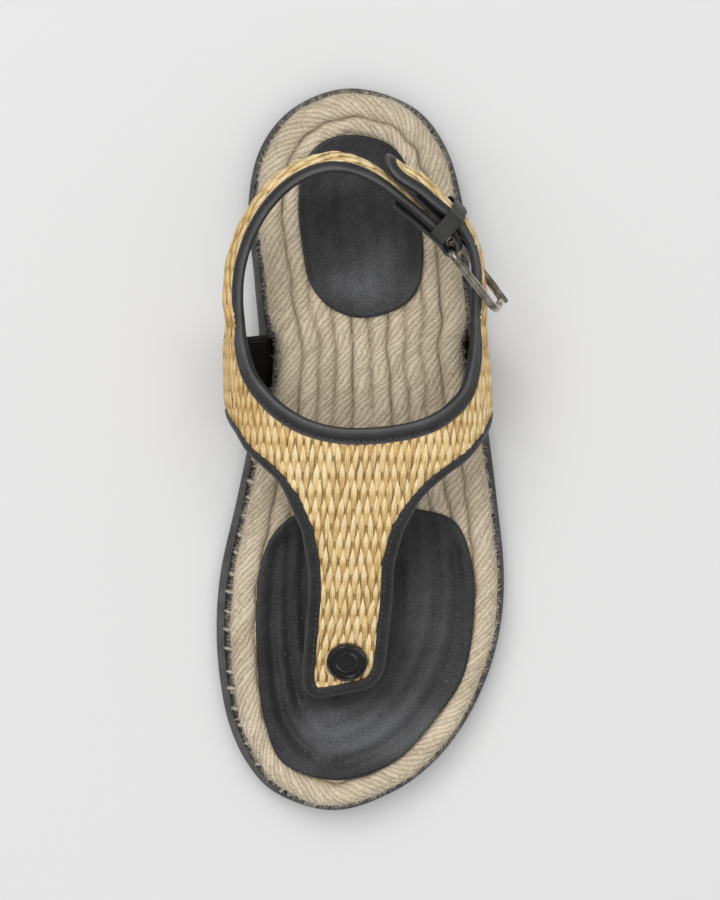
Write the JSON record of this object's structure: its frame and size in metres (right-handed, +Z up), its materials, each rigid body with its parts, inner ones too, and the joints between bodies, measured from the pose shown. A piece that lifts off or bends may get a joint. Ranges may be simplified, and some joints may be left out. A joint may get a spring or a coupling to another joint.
{
  "type": "open-toe flat sandal",
  "caption": "Left open-toe flat sandal with a rope footbed on a rubber tray, woven raffia T-strap upper bound in leather, toe post and buckled heel strap.",
  "frame": {"origin": "on the floor, at the middle of the box round the whole sandal", "axes": "+Z up, toe towards -Y, outer side of the left foot towards +X"},
  "size_m": [0.1029, 0.2574, 0.0802],
  "materials": {
    "outsole_rubber": "matt black rubber",
    "jute_rope": "natural twisted jute rope",
    "pad_leather": "soft grained black leather",
    "raffia_weave": "golden woven raffia with a leather lining",
    "binding_leather": "smooth black folded leather",
    "stud_leather": "black moulded rivet head",
    "buckle_metal": "aged nickel wire",
    "tab_leather": "black strap leather"
  },
  "bodies": {
    "root": {"outsole": "outsole_rubber", "rope_footbed": "jute_rope", "forefoot_pad": "pad_leather", "heel_pad": "pad_leather", "upper": "raffia_weave", "front_binding": "binding_leather", "top_binding": "binding_leather", "stud": "stud_leather", "toe_post": "tab_leather", "buckle_frame": "buckle_metal", "buckle_prong": "buckle_metal", "buckle_tab": "tab_leather", "keeper_loop": "tab_leather"}
  },
  "joints": []
}
